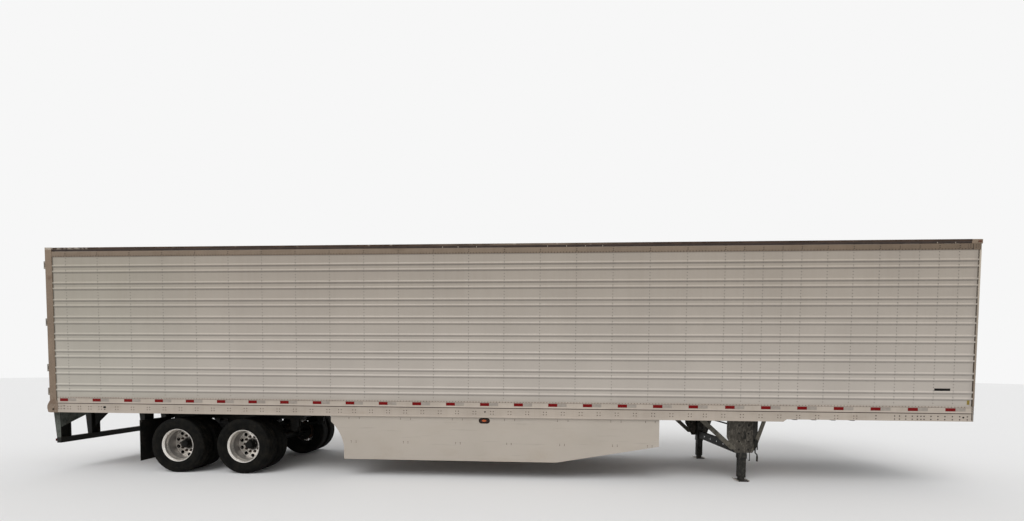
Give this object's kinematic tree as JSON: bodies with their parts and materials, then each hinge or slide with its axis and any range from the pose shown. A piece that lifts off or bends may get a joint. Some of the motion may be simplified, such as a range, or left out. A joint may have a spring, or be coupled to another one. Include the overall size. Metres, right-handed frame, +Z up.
{
  "type": "semi trailer",
  "caption": "Long box semi trailer with beaded sides, swinging rear doors, side skirts, sliding tandem axles with dual wheels, and landing gear.",
  "frame": {"origin": "on the ground under the middle of the trailer, tyres and landing feet at height 0", "axes": "+X towards the front, where the kingpin is, +Y to the trailer's left, +Z up"},
  "size_m": [16.274, 2.591, 4.085],
  "materials": {
    "floor_wood": "worn boards",
    "galvanised": "dull zinc",
    "lens_amber": "clear",
    "lens_red": "clear",
    "rail_aluminium": "dull, dirty",
    "rubber": "matte",
    "skirt_panel": "satin",
    "tyre": "matte",
    "undergear": "weathered black paint",
    "wheel_alloy": "polished",
    "white_skin": "weathered gloss paint"
  },
  "bodies": {
    "root": {"air_tanks": "undergear", "axle_front": "undergear", "axle_rear": "undergear", "bogie_frame": "undergear", "bottom_rails": "white_skin", "corner_caps": "rail_aluminium", "corner_lamps": "lens_amber", "cross_channel": "undergear", "crossmembers": "undergear", "dock_bumpers": "rubber", "door_fixings": "galvanised", "flap_hangers": "undergear", "floor": "floor_wood", "front_frame": "rail_aluminium", "front_wall": "white_skin", "kingpin": "undergear", "landing_feet": "undergear", "landing_legs": "undergear", "leaf_springs": "undergear", "leg_braces": "undergear", "leg_drive": "undergear", "leg_mounts": "undergear", "mud_flaps": "rubber", "rear_guard": "undergear", "rear_header": "galvanised", "rear_lamps": "lens_red", "rear_posts": "galvanised", "rear_sill": "galvanised", "roof": "white_skin", "roof_bows": "galvanised", "service_couplings": "galvanised", "side_lamps": "lens_amber", "side_wall_left": "white_skin", "side_wall_right": "white_skin", "skirt_brackets": "galvanised", "skirt_left": "skirt_panel", "skirt_right": "skirt_panel", "slider_rails": "undergear", "spring_hangers": "undergear", "top_rails": "rail_aluminium", "upper_coupler": "undergear"},
    "door_left": {"door_hinges_left": "galvanised", "door_left": "white_skin", "lock_rods_left": "galvanised"},
    "door_right": {"door_hinges_right": "galvanised", "door_right": "white_skin", "lock_rods_right": "galvanised"},
    "dual_front_left": {"tyres_front_left": "tyre", "wheels_front_left": "wheel_alloy"},
    "dual_front_right": {"tyres_front_right": "tyre", "wheels_front_right": "wheel_alloy"},
    "dual_rear_left": {"tyres_rear_left": "tyre", "wheels_rear_left": "wheel_alloy"},
    "dual_rear_right": {"tyres_rear_right": "tyre", "wheels_rear_right": "wheel_alloy"}
  },
  "joints": [
    {"name": "spin_front_right", "type": "hinge", "parent": "root", "child": "dual_front_right", "pos_m": [-4.4016, -0.984, 0.5], "axis": [0, 1, 0], "continuous": true},
    {"name": "spin_front_left", "type": "hinge", "parent": "root", "child": "dual_front_left", "pos_m": [-4.4016, 0.984, 0.5], "axis": [0, 1, 0], "continuous": true},
    {"name": "spin_rear_right", "type": "hinge", "parent": "root", "child": "dual_rear_right", "pos_m": [-5.6464, -0.984, 0.5], "axis": [0, 1, 0], "continuous": true},
    {"name": "spin_rear_left", "type": "hinge", "parent": "root", "child": "dual_rear_left", "pos_m": [-5.6464, 0.984, 0.5], "axis": [0, 1, 0], "continuous": true},
    {"name": "swing_right", "type": "hinge", "parent": "root", "child": "door_right", "pos_m": [-8.097, -1.2865, 2.59], "axis": [0, 0, 1], "range_deg": [0, 264]},
    {"name": "swing_left", "type": "hinge", "parent": "root", "child": "door_left", "pos_m": [-8.097, 1.2865, 2.59], "axis": [0, 0, -1], "range_deg": [0, 264]}
  ]
}
